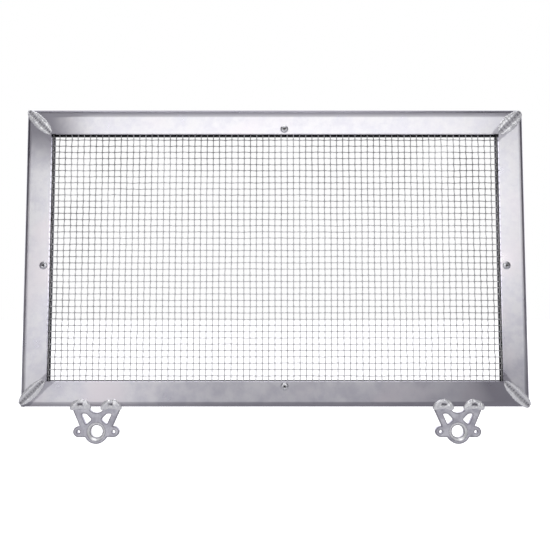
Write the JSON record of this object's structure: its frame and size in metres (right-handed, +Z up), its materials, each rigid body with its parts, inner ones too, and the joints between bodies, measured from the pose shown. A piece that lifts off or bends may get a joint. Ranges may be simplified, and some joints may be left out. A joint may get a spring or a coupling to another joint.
{
  "type": "framed wire mesh guard screen",
  "caption": "Rectangular guard screen: square wire mesh held in a mitred and welded aluminium channel frame, with lightened quarter-turn fastener tabs welded under the bottom rail.",
  "frame": {"origin": "halfway between the fastener holes of the two tabs, on the plane of the tabs' flat back faces", "axes": "+X along the long side, to the right seen from the front; +Y from the front face to the back; +Z up, from the tabs to the frame"},
  "size_m": [0.512, 0.0213, 0.3402],
  "materials": {
    "frame_metal": "lightly brushed mill aluminium with faint swirl marks",
    "weld_metal": "bright rippled weld bead",
    "tab_metal": "satin cut plate",
    "rivet_metal": "smooth pressed aluminium",
    "mandrel_steel": "dull broken-off steel pin",
    "screen_wire": "bright crimped stainless wire"
  },
  "bodies": {
    "root": {"bottom_left_back_weld": "weld_metal", "bottom_left_edge_weld": "weld_metal", "bottom_left_front_weld": "weld_metal", "bottom_rail": "frame_metal", "bottom_right_back_weld": "weld_metal", "bottom_right_edge_weld": "weld_metal", "bottom_right_front_weld": "weld_metal", "bottom_rivet": "rivet_metal", "bottom_rivet_mandrel": "mandrel_steel", "left_rail": "frame_metal", "left_rivet": "rivet_metal", "left_rivet_mandrel": "mandrel_steel", "left_tab": "tab_metal", "left_tab_left_weld": "weld_metal", "left_tab_right_weld": "weld_metal", "level_wires": "screen_wire", "right_rail": "frame_metal", "right_rivet": "rivet_metal", "right_rivet_mandrel": "mandrel_steel", "right_tab": "tab_metal", "right_tab_left_weld": "weld_metal", "right_tab_right_weld": "weld_metal", "top_left_back_weld": "weld_metal", "top_left_edge_weld": "weld_metal", "top_left_front_weld": "weld_metal", "top_rail": "frame_metal", "top_right_back_weld": "weld_metal", "top_right_front_weld": "weld_metal", "top_rivet": "rivet_metal", "top_rivet_mandrel": "mandrel_steel", "upright_wires": "screen_wire"}
  },
  "joints": []
}
